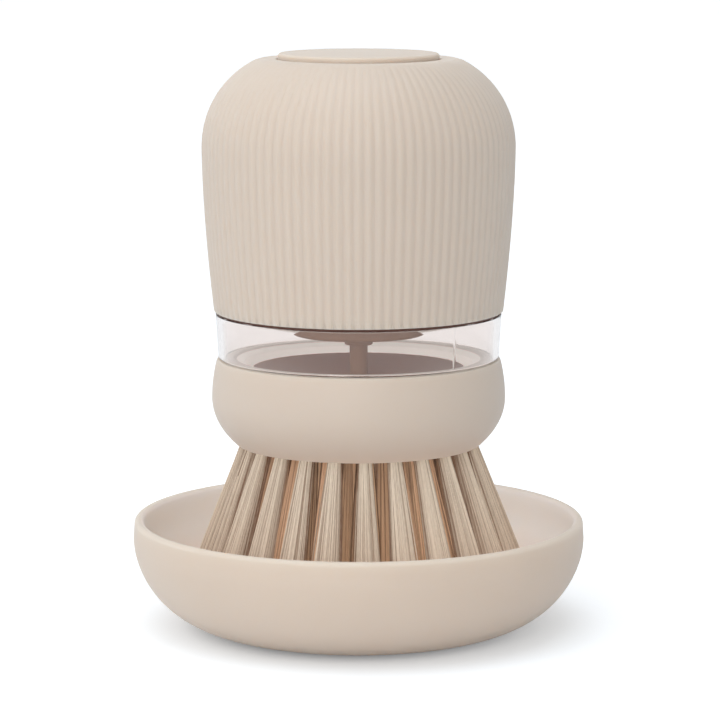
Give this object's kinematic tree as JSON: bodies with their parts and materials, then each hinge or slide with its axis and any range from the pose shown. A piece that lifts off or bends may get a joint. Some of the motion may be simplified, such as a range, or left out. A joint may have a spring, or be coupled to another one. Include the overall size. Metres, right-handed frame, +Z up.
{
  "type": "soap dispensing dish brush",
  "caption": "Palm dish brush with a fluted dome handle, a clear soap reservoir, a sprung dosing button and a ring of bristles, standing in a shallow round drip tray.",
  "frame": {"origin": "centre of the drip tray's foot, on the surface that it stands on", "axes": "+Z up along the axis that every part shares; +X to the right and +Y away from the viewer in the picture's view"},
  "size_m": [0.092, 0.092, 0.1174],
  "materials": {
    "tray_plastic": "smooth matt moulding",
    "shell_plastic": "smooth matt moulding",
    "inner_plastic": "satin moulding",
    "bristle": "fine straight filaments",
    "seal_rubber": "smooth",
    "clear_plastic": "clear polished plastic",
    "spring_steel": "drawn wire"
  },
  "bodies": {
    "tray": {"drip_tray": "tray_plastic"},
    "head": {"head_shell": "shell_plastic", "brush_plate": "shell_plastic", "valve_seat": "inner_plastic", "bristles_outer": "bristle", "bristles_middle": "bristle", "bristles_inner": "bristle"},
    "neck_seal": {"neck_gasket": "seal_rubber"},
    "handle": {"clear_reservoir": "clear_plastic", "dome_shell": "shell_plastic", "band_seal": "seal_rubber", "plunger_well": "inner_plastic", "well_seal": "seal_rubber", "rod_seal": "seal_rubber", "seal_retainer": "inner_plastic", "return_spring": "spring_steel"},
    "button": {"button_cap": "shell_plastic", "push_rod": "inner_plastic", "valve_plug": "inner_plastic", "valve_ring": "seal_rubber"}
  },
  "joints": [
    {"name": "brush_lift", "type": "slide", "parent": "tray", "child": "head", "axis": [0, 0, 1], "range_m": [0, 0.06]},
    {"name": "handle_rise", "type": "slide", "parent": "head", "child": "neck_seal", "axis": [0, 0, 1], "range_m": [0, 0.0045]},
    {"name": "handle_twist", "type": "hinge", "parent": "neck_seal", "child": "handle", "pos_m": [0, 0, 0.0558], "axis": [0, 0, 1], "range_deg": [0, 90]},
    {"name": "button_press", "type": "slide", "parent": "handle", "child": "button", "axis": [0, 0, -1], "range_m": [0, 0.005], "stiffness_N_per_m": 600, "springref_m": -0.005, "deforming": ["return_spring"]}
  ],
  "couplings": [
    {"joint": "handle_rise", "follows": "handle_twist", "m_per_rad": 0.002864}
  ]
}
